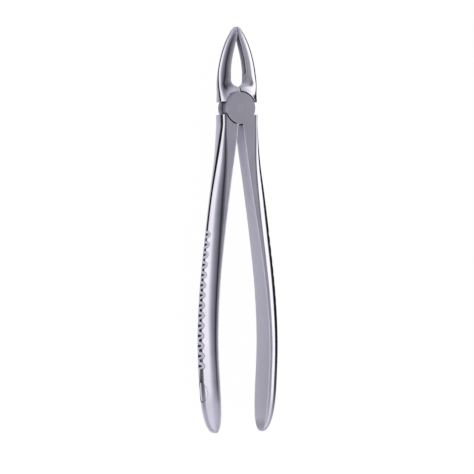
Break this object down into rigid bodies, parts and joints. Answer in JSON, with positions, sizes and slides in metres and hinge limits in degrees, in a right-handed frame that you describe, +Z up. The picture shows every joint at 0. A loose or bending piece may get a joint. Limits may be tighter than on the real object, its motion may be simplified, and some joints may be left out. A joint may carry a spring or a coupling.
{
  "type": "extraction forceps",
  "caption": "Straight dental extraction forceps: two forged steel halves with hollow-ground beaks and grooved handles, crossing in a riveted lap joint.",
  "frame": {"origin": "middle of the underside of the closed forceps' bounding box, lying flat", "axes": "+X across the tool, +Y along it towards the beaks, +Z up, out of the joint's front face"},
  "size_m": [0.0368, 0.1749, 0.014],
  "materials": {
    "forged_steel": "stainless steel: satin on the joint faces and inner faces, polished on the crowned outer faces",
    "rivet_steel": "satin stainless steel, ground flush"
  },
  "bodies": {
    "rear": {"rear_half": "forged_steel", "pivot_rivet": "rivet_steel"},
    "front": {"front_half": "forged_steel"}
  },
  "joints": [
    {"name": "pivot_hinge", "type": "hinge", "parent": "rear", "child": "front", "pos_m": [0, 0.0523, 0.007], "axis": [0, 0, 1], "range_deg": [0, 30]}
  ]
}
